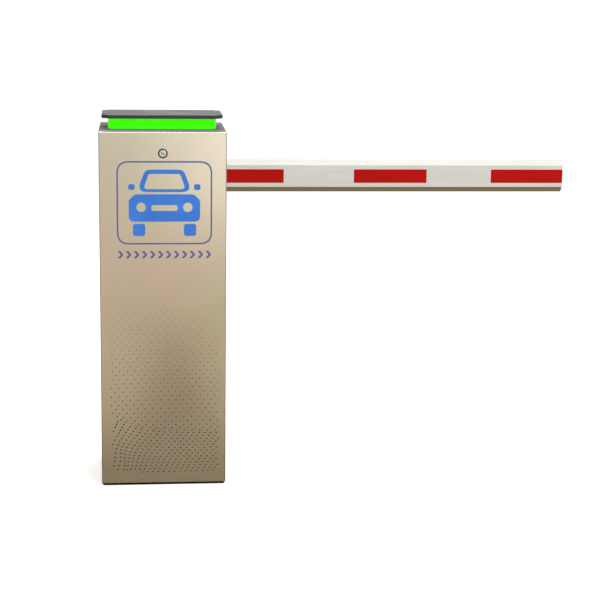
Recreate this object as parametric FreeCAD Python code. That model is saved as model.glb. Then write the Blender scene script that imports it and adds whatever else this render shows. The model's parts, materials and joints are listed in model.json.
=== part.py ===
import FreeCAD, Part
import math
import os

# Parking barrier gate: a floor-standing drive cabinet with a boom on its rear side.
# Frame: millimetres, origin on the ground under the middle of the cabinet,
# +X along the lowered boom, -Y towards the service door, +Z up.

# ---------------------------------------------------------------- driving dimensions
CABINET_WIDTH = 350.0
CABINET_DEPTH = 292.0
CABINET_TOP = 1003.0
SHEET = 2.0                      # stainless sheet of the casing
SEAM = 0.5                       # gap between neighbouring panels

GASKET_THICK = 4.0               # rubber under the base
BASE_THICK = 8.0
ANCHOR_X = 260.0                 # anchor bolt spacing
ANCHOR_Y = 200.0
ANCHOR_R = 7.0
ENTRY_X = -60.0                  # cable entry through the base
ENTRY_Y = -40.0
ENTRY_R = 40.0
GROMMET_BORE_R = 30.0

DOOR_DEPTH = 10.0                # folded side returns of the door
DOOR_BOTTOM = 7.0
HINGE_Y = -139.0                 # axis of the door's bottom hinge pins
HINGE_Z = 9.5
HINGE_PIN_R = 2.5
LOCK_Z = 945.0
ESCUTCHEON_R = 13.5
LOCK_FACE_R = 9.5                # face of the plug, and the barrel behind it
LOCK_CORE_R = 6.5
KEY_TURN = 35.0                  # key slot's angle when locked

SHAFT_X = 40.0                   # main shaft that carries the boom
SHAFT_Z = 844.0
SHAFT_R = 17.5
SHAFT_FRONT = 38.0
FIT = 0.05                       # radial running clearance
LOOSE = 0.3                      # free clearance between moving pieces

BOOM_HEIGHT = 96.0
BOOM_THICK = 45.0
BOOM_CHAMFER = 16.0
BOOM_WALL = 1.8
BOOM_START = -45.0
BOOM_END = 1200.0
STRIPE_STARTS = (142.0, 569.0, 981.5)
STRIPE_LENGTH = 218.0
STRIPE_HEIGHT = 40.0
FILM = 0.5                       # reflective film on the boom

OUTPUT_Z = 520.0                 # gearbox output shaft, straight below the main shaft
OUTPUT_R = 14.0
CRANK_R = 60.0                   # equal throw of drive lever and crank
CRANK_ANGLE = -45.0              # both point down and outwards with the boom lowered
LINK_PIN_R = 8.0
LEVER_HUB_R = 28.0
LEVER_TIP_R = 14.0
BUFFER_R = 9.0                   # rubber stop buffers
BUFFER_REACH = 50.0              # their distance from the main shaft
WHEEL_R = 50.0
WHEEL_TEETH = 30
WORM_R = 14.0
WORM_GAP = 0.5
WORM_SHAFT_R = 8.0
GEAR_Y = 44.0                    # mid plane of the worm wheel
GEARBOX_X = (-25.0, 105.0)
GEARBOX_Y = (20.0, 72.0)
GEARBOX_WALL = 8.0
GEARBOX_TOP = 590.0
COVER_THICK = 6.0
MOTOR_X = (-150.0, -36.0)
MOTOR_R = 44.0
MOTOR_BORE_R = 34.0
ROTOR_R = 31.0
HANDWHEEL_X = 117.0

BALANCE_R = 85.0                 # throw of the balance lever
BALANCE_ANGLE = 135.0
SPRING_PIN_R = 4.0
SPRING_R = 9.0
SPRING_OFFSET = 12.0             # each spring beside the balance lever
SPRING_WIRE = 1.8
SPRING_FOOT_Z = 300.0

LAMP_WIDTH = 300.0
LAMP_DEPTH = 136.0
LAMP_HEIGHT = 29.0
LAMP_Y = 8.0
CAP_WIDTH = 335.0
CAP_DEPTH = 176.0
CAP_THICK = 10.0
CAP_CLIP = 22.0                  # corners cut off at 45 degrees

CONTROLLER_X = (-160.0, -60.0)
CONTROLLER_Z = (600.0, 860.0)
EQUIPMENT_Y = -40.0              # mounting face for controller and terminals
SUPPLY_X = (0.0, 100.0)
SUPPLY_Y = (-92.0, -42.0)
SUPPLY_TOP = 175.0
SUPPLY_WALL = 1.5

# ---------------------------------------------------------------- derived places
SIDE = CABINET_WIDTH / 2
FRONT = -CABINET_DEPTH / 2
REAR = CABINET_DEPTH / 2
BASE_TOP = GASKET_THICK + BASE_THICK
DOOR_BACK = FRONT + DOOR_DEPTH
PANEL_FRONT = DOOR_BACK + SEAM
DECK_UNDER = CABINET_TOP - SHEET
LIP = 25.0                       # folded front and rear lips of the side panels
PLATE_Y = (130.0, 136.0)         # mechanism plate that stands on the base
PLATE_TOP = 935.0
FRONT_PLATE_Y = (40.0, 46.0)     # short bearing plate in front of the levers
LEVER_Y = (80.0, 90.0)
ROD_Y = (92.0, 102.0)
BALANCE_Y = (98.0, 106.0)
CAM_Y = (68.0, 76.0)
WORM_Z = OUTPUT_Z - WHEEL_R - WORM_R - WORM_GAP
SHELF_TOP = 402.0
SHELF_THICK = 8.0
BRACKET_Y = PLATE_Y[0] - 6.0     # front of the bracket flanges on the mechanism plate
ANCHOR_TOP = 248.0               # ledge that takes the springs' eye bolts
ANCHOR_THICK = 8.0
FLANGE_Y = (REAR + 3.0, REAR + 11.0)
CLAMP_THICK = 6.0
BOOM_Y = FLANGE_Y[1] + CLAMP_THICK
CAP_TOP = CABINET_TOP + LAMP_HEIGHT + 1.0 + CAP_THICK
X_AXIS = FreeCAD.Vector(1, 0, 0)
Y_AXIS = FreeCAD.Vector(0, 1, 0)
Z_AXIS = FreeCAD.Vector(0, 0, 1)


# ---------------------------------------------------------------- small helpers
def box(xs, ys, zs):
    size = (xs[1] - xs[0], ys[1] - ys[0], zs[1] - zs[0])
    return Part.makeBox(*size, FreeCAD.Vector(xs[0], ys[0], zs[0]))


def rod_x(radius, y, z, xs):
    return Part.makeCylinder(radius, xs[1] - xs[0], FreeCAD.Vector(xs[0], y, z), X_AXIS)


def rod_y(radius, x, z, ys):
    return Part.makeCylinder(radius, ys[1] - ys[0], FreeCAD.Vector(x, ys[0], z), Y_AXIS)


def rod_z(radius, x, y, zs):
    return Part.makeCylinder(radius, zs[1] - zs[0], FreeCAD.Vector(x, y, zs[0]), Z_AXIS)


def edges_along(shape, axis):
    found = []
    for edge in shape.Edges:
        start = edge.Vertexes[0].Point
        end = edge.Vertexes[-1].Point
        run = end.sub(start)
        if run.Length > 1e-6 and abs(abs(run.dot(axis)) - run.Length) < 1e-6:
            found.append(edge)
    return found


def rounded_box(xs, ys, zs, radius, axis):
    block = box(xs, ys, zs)
    return block.makeFillet(radius, edges_along(block, axis))


def prism(points, direction):
    """Extrude a closed polygon of (x, y, z) points."""
    places = [FreeCAD.Vector(*point) for point in points]
    outline = Part.makePolygon(places + places[:1])
    return Part.Face(outline).extrude(direction)


def polar(centre_x, centre_z, radius, angle):
    """Point at an angle measured from +X towards +Z."""
    turn = math.radians(angle)
    return centre_x + radius * math.cos(turn), centre_z + radius * math.sin(turn)


def link(start, start_r, end, end_r, ys):
    """Flat link in the XZ plane: two round ends joined by their outer tangents."""
    run_x = end[0] - start[0]
    run_z = end[1] - start[1]
    length = math.hypot(run_x, run_z)
    heading = math.atan2(run_z, run_x)
    lean = math.acos((start_r - end_r) / length)
    touches = []
    for place, radius, side in ((start, start_r, 1), (end, end_r, 1), (end, end_r, -1), (start, start_r, -1)):
        turn = heading + side * lean
        touches.append((place[0] + radius * math.cos(turn), ys[0], place[1] + radius * math.sin(turn)))
    depth = FreeCAD.Vector(0, ys[1] - ys[0], 0)
    body = prism(touches, depth)
    ends = [rod_y(start_r, start[0], start[1], ys), rod_y(end_r, end[0], end[1], ys)]
    return body.fuse(ends).removeSplitter()


def hexagon(across_flats, x, z, ys):
    """Hexagonal prism along Y."""
    corner_r = across_flats / math.sqrt(3)
    points = []
    for step in range(6):
        px, pz = polar(x, z, corner_r, 60 * step)
        points.append((px, ys[0], pz))
    return prism(points, FreeCAD.Vector(0, ys[1] - ys[0], 0))


def turned(shape, axis, angle, place=(0, 0, 0)):
    copy = shape.copy()
    copy.rotate(FreeCAD.Vector(*place), axis, angle)
    return copy


def moved(shape, x, y, z):
    copy = shape.copy()
    copy.translate(FreeCAD.Vector(x, y, z))
    return copy


def group(solids):
    return Part.makeCompound(solids)


def corners(x_half, y_half):
    return [(sx * x_half, sy * y_half) for sx in (-1, 1) for sy in (-1, 1)]


# ---------------------------------------------------------------- base
def make_base_gasket():
    inset = 3.0
    zs = (0, GASKET_THICK)
    pad = rounded_box((-SIDE + inset, SIDE - inset), (FRONT + inset, REAR - inset), zs, 6.0, Z_AXIS)
    for x, y in corners(ANCHOR_X / 2, ANCHOR_Y / 2):
        pad = pad.cut(rod_z(ANCHOR_R, x, y, zs))
    return pad.cut(rod_z(ENTRY_R, ENTRY_X, ENTRY_Y, zs))


def make_base_plate():
    front = HINGE_Y + 7.0
    zs = (GASKET_THICK, BASE_TOP)
    plate = rounded_box((-SIDE + 2.5, SIDE - 2.5), (front, REAR - 4.5), zs, 3.0, Z_AXIS)
    for x, y in corners(ANCHOR_X / 2, ANCHOR_Y / 2):
        plate = plate.cut(rod_z(ANCHOR_R, x, y, zs))
    return plate.cut(rod_z(ENTRY_R, ENTRY_X, ENTRY_Y, zs))


def make_cable_grommet():
    """Rubber ring that lines the cable entry and grips both faces of the base plate."""
    ring = rod_z(ENTRY_R - LOOSE, ENTRY_X, ENTRY_Y, (GASKET_THICK - 3.0, BASE_TOP + 4.0))
    flange = rod_z(ENTRY_R + 5.0, ENTRY_X, ENTRY_Y, (BASE_TOP, BASE_TOP + 4.0))
    bore = rod_z(GROMMET_BORE_R, ENTRY_X, ENTRY_Y, (0, BASE_TOP + 5.0))
    return ring.fuse(flange).cut(bore).removeSplitter()


# ---------------------------------------------------------------- casing
def make_side_panel(side):
    """Sheet with folded lips along the door opening and along the rear panel."""
    sheet = box((SIDE - SHEET, SIDE), (PANEL_FRONT, REAR - SHEET), (GASKET_THICK, DECK_UNDER))
    front_lip = box((SIDE - LIP, SIDE), (PANEL_FRONT, PANEL_FRONT + SHEET), (BASE_TOP + SEAM, DECK_UNDER))
    rear_lip = box((SIDE - LIP, SIDE), (REAR - 2 * SHEET, REAR - SHEET), (BASE_TOP + SEAM, DECK_UNDER))
    panel = sheet.fuse([front_lip, rear_lip]).removeSplitter()
    for z in rear_screw_heights():
        panel = panel.cut(rod_y(2.5, SIDE - LIP / 2, z, (REAR - 3 * SHEET, REAR)))
    if side < 0:
        panel = panel.mirror(FreeCAD.Vector(0, 0, 0), X_AXIS)
    return panel


def rear_screw_heights():
    return (60.0, 500.0, 950.0)


def make_rear_panel():
    panel = box((-SIDE, SIDE), (REAR - SHEET, REAR), (GASKET_THICK, DECK_UNDER))
    rear_edges = [edge for edge in edges_along(panel, Z_AXIS) if edge.CenterOfMass.y > REAR - 0.1]
    panel = panel.makeFillet(1.2, rear_edges)
    panel = panel.cut(rod_y(SHAFT_R + 10.0, SHAFT_X, SHAFT_Z, (REAR - 2 * SHEET, REAR + SHEET)))
    for side in (-1, 1):
        for z in rear_screw_heights():
            panel = panel.cut(rod_y(2.5, side * (SIDE - LIP / 2), z, (REAR - 2 * SHEET, REAR + SHEET)))
    return panel


def make_panel_screws():
    """Dome-head screws that hold the rear panel to the side panels' rear lips."""
    screws = []
    for side in (-1, 1):
        for z in rear_screw_heights():
            x = side * (SIDE - LIP / 2)
            head = Part.makeSphere(7.0, FreeCAD.Vector(x, REAR - 3.6, z))
            head = head.common(box((x - 8, x + 8), (REAR, REAR + 10), (z - 8, z + 8)))
            socket = hexagon(3.0, x, z, (REAR + 1.6, REAR + 5))
            shank = rod_y(2.3, x, z, (REAR - 8.0, REAR))
            screws.append(head.fuse(shank).cut(socket))
    return group(screws)


def make_top_deck():
    deck = box((-SIDE, SIDE), (FRONT + 14.5, REAR), (DECK_UNDER, CABINET_TOP))
    soft = []
    for edge in deck.Edges:
        place = edge.CenterOfMass
        outer = abs(place.x) > SIDE - 0.1 or place.y > REAR - 0.1
        if place.z > CABINET_TOP - 0.1 and outer:
            soft.append(edge)
    deck = deck.makeFillet(1.5, soft)
    for x, y in post_places():
        deck = deck.cut(rod_z(3.2, x, y, (DECK_UNDER, CABINET_TOP)))
    return deck.cut(rod_z(8.0, 0, LAMP_Y, (DECK_UNDER, CABINET_TOP)))


def make_header_rail():
    """Cross rail under the deck; its hanging web is what the lock cam catches."""
    front = PANEL_FRONT + SHEET + 0.1
    web = box((-SIDE + 2.5, SIDE - 2.5), (front, front + SHEET), (LOCK_Z + 14.0, DECK_UNDER))
    top = box((-SIDE + 2.5, SIDE - 2.5), (front, front + 30.0), (DECK_UNDER - SHEET, DECK_UNDER))
    return web.fuse(top).removeSplitter()


# ---------------------------------------------------------------- service door
def make_front_door():
    """Folded pan that forms the whole front; it tips forward about its lower edge."""
    outer = box((-SIDE, SIDE), (FRONT, DOOR_BACK), (DOOR_BOTTOM, CABINET_TOP))
    bends = []
    for edge in outer.Edges:
        place = edge.CenterOfMass
        on_front = place.y < FRONT + 0.1
        if on_front and place.z > DOOR_BOTTOM + 1:
            bends.append(edge)
    outer = outer.makeFillet(3.0, bends)
    inner = box((-SIDE + SHEET, SIDE - SHEET), (FRONT + SHEET, DOOR_BACK + 1), (DOOR_BOTTOM - 1, DECK_UNDER))
    folds = []
    for edge in inner.Edges:
        place = edge.CenterOfMass
        if place.y < FRONT + SHEET + 0.1 and place.z > DOOR_BOTTOM:
            folds.append(edge)
    pan = outer.cut(inner.makeFillet(1.0, folds))
    swing_room = box((-SIDE - 1, SIDE + 1), (FRONT + SHEET, DOOR_BACK + 1), (0, DOOR_BOTTOM + 7.0))
    pan = pan.cut(swing_room)
    top_fold = box((-SIDE + SHEET, SIDE - SHEET), (DOOR_BACK, FRONT + 14.0), (DECK_UNDER, CABINET_TOP))
    pan = pan.fuse(top_fold).removeSplitter()
    return pan.cut(rod_y(LOCK_FACE_R + 0.2, 0, LOCK_Z, (FRONT - 1, FRONT + 5)))


def make_door_gasket():
    """Foam frame on the door's inner face; it closes against the cabinet's lips."""
    width = 12.0
    ys = (FRONT + SHEET, PANEL_FRONT - SEAM)
    x_half = SIDE - SHEET - 1.0
    zs = (16.0, CABINET_TOP - 4.0)
    outer = rounded_box((-x_half, x_half), ys, zs, 4.0, Y_AXIS)
    inside_x = (-x_half + width, x_half - width)
    inside_z = (zs[0] + width, zs[1] - width)
    return outer.cut(rounded_box(inside_x, ys, inside_z, 2.0, Y_AXIS))


def hinge_centres():
    return (-120.0, 120.0)


def make_hinge_pins():
    """Steel pins between two lugs on the front edge of the base plate."""
    pieces = []
    for x in hinge_centres():
        pin = rod_x(HINGE_PIN_R, HINGE_Y, HINGE_Z, (x - 25, x + 25))
        solids = [pin]
        for end in (-1, 1):
            near = x + end * 23
            lug_x = (near - 2.0, near + 2.0)
            solids.append(box(lug_x, (HINGE_Y - 3.5, HINGE_Y + 7.0), (DOOR_BOTTOM - 1.0, HINGE_Z + 4.0)))
        pieces.append(solids[0].fuse(solids[1:]).removeSplitter())
    return group(pieces)


def make_door_hooks():
    """Hooks on the door that sit over the hinge pins; open below so the door lifts off."""
    hooks = []
    for x in hinge_centres():
        xs = (x - 15.0, x + 15.0)
        radius = HINGE_Y - (FRONT + SHEET)
        hook = rod_x(radius, HINGE_Y, HINGE_Z, xs)
        hook = hook.fuse(box(xs, (FRONT + SHEET, HINGE_Y), (HINGE_Z, HINGE_Z + radius)))
        hook = hook.cut(rod_x(HINGE_PIN_R + FIT, HINGE_Y, HINGE_Z, (xs[0] - 1, xs[1] + 1)))
        mouth_y = (HINGE_Y - HINGE_PIN_R - FIT, HINGE_Y + HINGE_PIN_R + FIT)
        mouth = box((xs[0] - 1, xs[1] + 1), mouth_y, (0, HINGE_Z))
        hooks.append(hook.cut(mouth).removeSplitter())
    return group(hooks)


# ---------------------------------------------------------------- door lock
def make_lock_housing():
    """Round escutcheon and barrel, counterbored for the plug's face."""
    rim_y = FRONT - 3.5
    escutcheon = rod_y(ESCUTCHEON_R, 0, LOCK_Z, (rim_y, FRONT))
    rim = [edge for edge in escutcheon.Edges if edge.CenterOfMass.y < rim_y + 0.1]
    escutcheon = escutcheon.makeFillet(1.4, rim)
    barrel = rod_y(LOCK_FACE_R, 0, LOCK_Z, (FRONT - 1, FRONT + 14.5))
    housing = escutcheon.fuse(barrel).removeSplitter()
    housing = housing.cut(rod_y(LOCK_CORE_R, 0, LOCK_Z, (FRONT - 10, FRONT + 20)))
    return housing.cut(rod_y(LOCK_FACE_R + 0.1, 0, LOCK_Z, (FRONT - 5, FRONT - 1.9)))


def make_lock_nut():
    nut = hexagon(26.0, 0, LOCK_Z, (FRONT + SHEET, FRONT + SHEET + 5.0))
    return nut.cut(rod_y(LOCK_FACE_R + 0.05, 0, LOCK_Z, (FRONT, FRONT + 20)))


def make_lock_plug():
    """Turning core: wide face, stem through the barrel and a stub that carries the cam."""
    face_y = FRONT - 4.0
    face = rod_y(LOCK_FACE_R, 0, LOCK_Z, (face_y, FRONT - 2.0))
    rim = [edge for edge in face.Edges if edge.CenterOfMass.y < face_y + 0.1]
    face = face.makeFillet(0.6, rim)
    stem = rod_y(LOCK_CORE_R - FIT, 0, LOCK_Z, (FRONT - 3, FRONT + 14.9))
    stub = rod_y(4.0, 0, LOCK_Z, (FRONT + 14, FRONT + 18.5))
    plug = face.fuse([stem, stub]).removeSplitter()
    slot_depth = (face_y - 1, FRONT + 4)
    slot = box((-5.4, 5.4), slot_depth, (LOCK_Z - 1.1, LOCK_Z + 1.1))
    ward = box((-1.2, 4.0), slot_depth, (LOCK_Z - 2.8, LOCK_Z))
    key_way = turned(slot.fuse(ward), Y_AXIS, KEY_TURN, (0, 0, LOCK_Z))
    return plug.cut(key_way)


def make_lock_cam():
    ys = (FRONT + 15.0, FRONT + 18.0)
    cam = link((0, LOCK_Z), 8.0, (20.0, LOCK_Z), 6.0, ys)
    return cam.cut(rod_y(4.05, 0, LOCK_Z, (FRONT, FRONT + 30)))


def make_cam_screw():
    back = FRONT + 18.5
    head = hexagon(11.0, 0, LOCK_Z, (back, back + 4.0))
    washer = rod_y(7.0, 0, LOCK_Z, (back, back + 1.0))
    return head.fuse(washer).removeSplitter()


# ---------------------------------------------------------------- mechanism frame
def make_mechanism_plate():
    """Upright plate that carries bearings, gearbox shelf and spring anchor."""
    plate = rounded_box((-110.0, 140.0), PLATE_Y, (BASE_TOP, PLATE_TOP), 10.0, Y_AXIS)
    through = (PLATE_Y[0] - 10.0, PLATE_Y[1] + 4.0)
    plate = plate.cut(rod_y(SHAFT_R + 8.0, SHAFT_X, SHAFT_Z, through))
    for x, z in ((-60.0, 640.0), (90.0, 700.0), (-60.0, 100.0), (90.0, 200.0)):
        window = rounded_box((x - 28, x + 28), through, (z - 45, z + 45), 12.0, Y_AXIS)
        plate = plate.cut(window)
    return plate


def make_foot_angle():
    """Angle section that joins the mechanism plate to the base."""
    xs = (-105.0, 105.0)
    leg = box(xs, (PLATE_Y[0] - 40.0, PLATE_Y[0]), (BASE_TOP, BASE_TOP + 5.0))
    upright = box(xs, (PLATE_Y[0] - 5.0, PLATE_Y[0]), (BASE_TOP, BASE_TOP + 35.0))
    return leg.fuse(upright).removeSplitter()


def spacer_places():
    return [(SHAFT_X + dx, SHAFT_Z + dz) for dx in (-18.0, 18.0) for dz in (-76.0, 76.0)]


def make_bearing_plate():
    xs = (SHAFT_X - 44.0, SHAFT_X + 44.0)
    zs = (SHAFT_Z - 92.0, SHAFT_Z + 92.0)
    plate = rounded_box(xs, FRONT_PLATE_Y, zs, 14.0, Y_AXIS)
    return plate.cut(rod_y(SHAFT_R + 4.0, SHAFT_X, SHAFT_Z, (FRONT_PLATE_Y[0] - 1, FRONT_PLATE_Y[1] + 1)))


def make_plate_spacers():
    spacers = []
    for x, z in spacer_places():
        tube = rod_y(7.0, x, z, (FRONT_PLATE_Y[1], PLATE_Y[0]))
        head = hexagon(13.0, x, z, (FRONT_PLATE_Y[0] - 5.5, FRONT_PLATE_Y[0]))
        spacers.extend([tube, head])
    return group(spacers)


def make_shaft_bearings():
    """Two round flange bearings, one against each plate."""
    bearings = []
    for ys in ((FRONT_PLATE_Y[1], FRONT_PLATE_Y[1] + 16.0), (PLATE_Y[0] - 16.0, PLATE_Y[0])):
        middle = (ys[0] + ys[1]) / 2
        against_front = ys[0] == FRONT_PLATE_Y[1]
        flange_y = (ys[0], ys[0] + 8.0) if against_front else (ys[1] - 8.0, ys[1])
        ring = rod_y(29.0, SHAFT_X, SHAFT_Z, ys)
        flange = rod_y(40.0, SHAFT_X, SHAFT_Z, flange_y)
        bore = rod_y(SHAFT_R + FIT, SHAFT_X, SHAFT_Z, (middle - 20, middle + 20))
        bearings.append(ring.fuse(flange).cut(bore).removeSplitter())
    return group(bearings)


def bearing_screw_places():
    return [polar(SHAFT_X, SHAFT_Z, 34.5, angle) for angle in (0, 90, 180, 270)]


def hex_screw(x, z, y, towards):
    """M8 hex head standing on the face y, pointing along towards (-1 or +1)."""
    ys = (y, y + 5.0) if towards > 0 else (y - 5.0, y)
    washer_y = (y, y + 1.2) if towards > 0 else (y - 1.2, y)
    return hexagon(9.0, x, z, ys).fuse(rod_y(5.0, x, z, washer_y)).removeSplitter()


def make_machine_screws():
    """Hex heads of the screws that hold bearings, shelf, spring anchor and gearbox cover."""
    heads = []
    for x, z in bearing_screw_places():
        heads.append(hex_screw(x, z, FRONT_PLATE_Y[1] + 8.0, 1))
        heads.append(hex_screw(x, z, PLATE_Y[0] - 8.0, -1))
    for x in (24.0, 94.0):
        heads.append(hex_screw(x, 350.0, BRACKET_Y, -1))
    for x in (-36.0, -4.0):
        heads.append(hex_screw(x, 215.0, BRACKET_Y, -1))
    for x in (GEARBOX_X[0] + 5.0, GEARBOX_X[1] - 5.0):
        for z in (SHELF_TOP + 8.0, GEARBOX_TOP - 6.0):
            heads.append(hex_screw(x, z, GEARBOX_Y[0] - COVER_THICK, -1))
    return group(heads)


def make_stop_buffers():
    """Rubber buffers on studs; the drive lever meets one at each end of its travel."""
    buffers = []
    flank = math.acos((LEVER_HUB_R - LEVER_TIP_R) / CRANK_R)
    contact = math.acos((LEVER_HUB_R + BUFFER_R + LOOSE) / BUFFER_REACH)
    from_lever = math.degrees(flank - contact)
    for side in (-1, 1):
        x, z = polar(SHAFT_X, SHAFT_Z, BUFFER_REACH, side * (from_lever - CRANK_ANGLE))
        sleeve = rod_y(BUFFER_R, x, z, (LEVER_Y[0] - 1.0, LEVER_Y[1] + 1.0))
        stud = rod_y(4.5, x, z, (LEVER_Y[1], PLATE_Y[0]))
        buffers.append(sleeve.fuse(stud).removeSplitter())
    return group(buffers)


def make_limit_switches():
    """Two cam switches above and below the shaft, with small rollers."""
    switches = []
    for side in (-1, 1):
        near = SHAFT_Z + side * 42.0
        far = SHAFT_Z + side * 62.0
        zs = (min(near, far), max(near, far))
        body = rounded_box((SHAFT_X - 14, SHAFT_X + 14), (FRONT_PLATE_Y[1] + 14.0, 78.0), zs, 2.0, Y_AXIS)
        leg = box((SHAFT_X - 14, SHAFT_X + 14), (FRONT_PLATE_Y[1], FRONT_PLATE_Y[1] + 14.0), zs)
        roller_z = SHAFT_Z + side * 39.5
        roller = rod_y(3.0, SHAFT_X, roller_z, (69.0, 75.0))
        switches.append(body.fuse([leg, roller]).removeSplitter())
    return group(switches)


# ---------------------------------------------------------------- boom side
def octagon(y_front, inset, xs):
    """Boom section as a prism along X, shrunk by inset on every side."""
    half = BOOM_HEIGHT / 2 - inset
    front = y_front + inset
    rear = y_front + BOOM_THICK - inset
    cut = BOOM_CHAMFER - inset * (2 - math.sqrt(2))
    points = []
    for y, z in ((front, half - cut), (front + cut, half), (rear - cut, half), (rear, half - cut),
                 (rear, cut - half), (rear - cut, -half), (front + cut, -half), (front, cut - half)):
        points.append((xs[0], y, SHAFT_Z + z))
    return prism(points, FreeCAD.Vector(xs[1] - xs[0], 0, 0))


def make_boom_tube():
    outer = octagon(BOOM_Y, 0.0, (BOOM_START + 3.0, BOOM_END - 3.0))
    inner = octagon(BOOM_Y, BOOM_WALL, (BOOM_START, BOOM_END))
    return outer.cut(inner)


def make_boom_end_caps():
    caps = []
    plug_inset = BOOM_WALL + 0.1
    for plate, plug in (((BOOM_START, BOOM_START + 3.0), (BOOM_START + 3.0, BOOM_START + 18.0)),
                        ((BOOM_END - 3.0, BOOM_END), (BOOM_END - 18.0, BOOM_END - 3.0))):
        disc = octagon(BOOM_Y, 0.0, plate)
        core = octagon(BOOM_Y, plug_inset, plug)
        caps.append(disc.fuse(core).removeSplitter())
    return group(caps)


def make_boom_stripes():
    """Red reflective film, three pieces on each broad face."""
    films = []
    zs = (SHAFT_Z - STRIPE_HEIGHT / 2, SHAFT_Z + STRIPE_HEIGHT / 2)
    for ys in ((BOOM_Y - FILM, BOOM_Y), (BOOM_Y + BOOM_THICK, BOOM_Y + BOOM_THICK + FILM)):
        for start in STRIPE_STARTS:
            films.append(rounded_box((start, start + STRIPE_LENGTH), ys, zs, 2.0, Y_AXIS))
    return group(films)


def make_boom_flange():
    disc = rod_y(50.0, SHAFT_X, SHAFT_Z, FLANGE_Y)
    rim = [edge for edge in disc.Edges if edge.CenterOfMass.y < FLANGE_Y[0] + 0.1]
    disc = disc.makeFillet(2.0, rim)
    return disc.cut(rod_y(SHAFT_R + 0.1, SHAFT_X, SHAFT_Z, (FLANGE_Y[0] - 1, FLANGE_Y[1] + 1)))


def clamp_bolt_places():
    return [(SHAFT_X + dx, SHAFT_Z + dz) for dx in (-58.0, 58.0) for dz in (-62.0, 62.0)]


def make_clamp_plates():
    plates = []
    for y in (FLANGE_Y[1], BOOM_Y + BOOM_THICK):
        ys = (y, y + CLAMP_THICK)
        plate = rounded_box((SHAFT_X - 75, SHAFT_X + 75), ys, (SHAFT_Z - 76, SHAFT_Z + 76), 12.0, Y_AXIS)
        for x, z in clamp_bolt_places():
            plate = plate.cut(rod_y(5.5, x, z, (y - 1, y + 10)))
        plates.append(plate)
    return group(plates)


def make_clamp_bolts():
    """M10 bolts, each with its nut and washers as separate solids."""
    pieces = []
    inner = FLANGE_Y[1]
    outer = BOOM_Y + BOOM_THICK + CLAMP_THICK
    for x, z in clamp_bolt_places():
        shank = rod_y(5.0, x, z, (inner, outer + 12.0))
        head = hexagon(17.0, x, z, (inner - 6.5, inner))
        nut = hexagon(17.0, x, z, (outer + 2.0, outer + 10.0)).cut(rod_y(5.05, x, z, (outer, outer + 20)))
        washer = rod_y(10.0, x, z, (outer, outer + 2.0)).cut(rod_y(5.3, x, z, (outer - 1, outer + 5)))
        pieces.extend([head.fuse(shank), nut, washer])
    return group(pieces)


def make_main_shaft():
    shaft = rod_y(SHAFT_R, SHAFT_X, SHAFT_Z, (SHAFT_FRONT, FLANGE_Y[1]))
    ends = [edge for edge in shaft.Edges if edge.Closed]
    return shaft.makeChamfer(1.0, ends)


def make_drive_lever():
    pin = polar(SHAFT_X, SHAFT_Z, CRANK_R, CRANK_ANGLE)
    lever = link((SHAFT_X, SHAFT_Z), LEVER_HUB_R, pin, LEVER_TIP_R, LEVER_Y)
    lever = lever.fuse(rod_y(LINK_PIN_R, pin[0], pin[1], (LEVER_Y[1], ROD_Y[1] + 3.0)))
    bore = rod_y(SHAFT_R + 0.1, SHAFT_X, SHAFT_Z, (LEVER_Y[0] - 1, LEVER_Y[1] + 1))
    return lever.cut(bore).removeSplitter()


def spring_pin_place():
    return polar(SHAFT_X, SHAFT_Z, BALANCE_R, BALANCE_ANGLE)


def make_balance_lever():
    pin = spring_pin_place()
    lever = link((SHAFT_X, SHAFT_Z), LEVER_HUB_R, pin, 12.0, BALANCE_Y)
    reach = SPRING_OFFSET + 6.0
    middle = (BALANCE_Y[0] + BALANCE_Y[1]) / 2
    lever = lever.fuse(rod_y(SPRING_PIN_R, pin[0], pin[1], (middle - reach, middle + reach)))
    bore = rod_y(SHAFT_R + 0.1, SHAFT_X, SHAFT_Z, (BALANCE_Y[0] - 1, BALANCE_Y[1] + 1))
    return lever.cut(bore).removeSplitter()


def make_switch_cam():
    disc = rod_y(36.0, SHAFT_X, SHAFT_Z, CAM_Y)
    for angle in (45, 225):
        x, z = polar(SHAFT_X, SHAFT_Z, 38.0, angle)
        disc = disc.cut(rod_y(9.0, x, z, (CAM_Y[0] - 1, CAM_Y[1] + 1)))
    return disc.cut(rod_y(SHAFT_R + 0.1, SHAFT_X, SHAFT_Z, (CAM_Y[0] - 1, CAM_Y[1] + 1)))


# ---------------------------------------------------------------- linkage and gearbox
def make_connecting_rod():
    """Keeps upright: it joins two equal levers. The lower eye has free clearance."""
    top = polar(SHAFT_X, SHAFT_Z, CRANK_R, CRANK_ANGLE)
    bottom = polar(SHAFT_X, OUTPUT_Z, CRANK_R, CRANK_ANGLE)
    bar = box((top[0] - 9, top[0] + 9), (ROD_Y[0] + 1.0, ROD_Y[1] - 1.0), (bottom[1], top[1]))
    eyes = [rod_y(14.0, top[0], top[1], ROD_Y), rod_y(14.0, bottom[0], bottom[1], ROD_Y)]
    body = bar.fuse(eyes)
    body = body.cut(rod_y(LINK_PIN_R + FIT, top[0], top[1], (ROD_Y[0] - 1, ROD_Y[1] + 1)))
    body = body.cut(rod_y(LINK_PIN_R + LOOSE, bottom[0], bottom[1], (ROD_Y[0] - 1, ROD_Y[1] + 1)))
    return body.removeSplitter()


def make_crank_arm():
    pin = polar(SHAFT_X, OUTPUT_Z, CRANK_R, CRANK_ANGLE)
    arm = link((SHAFT_X, OUTPUT_Z), 24.0, pin, LEVER_TIP_R, LEVER_Y)
    arm = arm.fuse(rod_y(LINK_PIN_R, pin[0], pin[1], (LEVER_Y[1], ROD_Y[1] + 3.0)))
    bore = rod_y(OUTPUT_R + 0.1, SHAFT_X, OUTPUT_Z, (LEVER_Y[0] - 1, LEVER_Y[1] + 1))
    return arm.cut(bore).removeSplitter()


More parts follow.
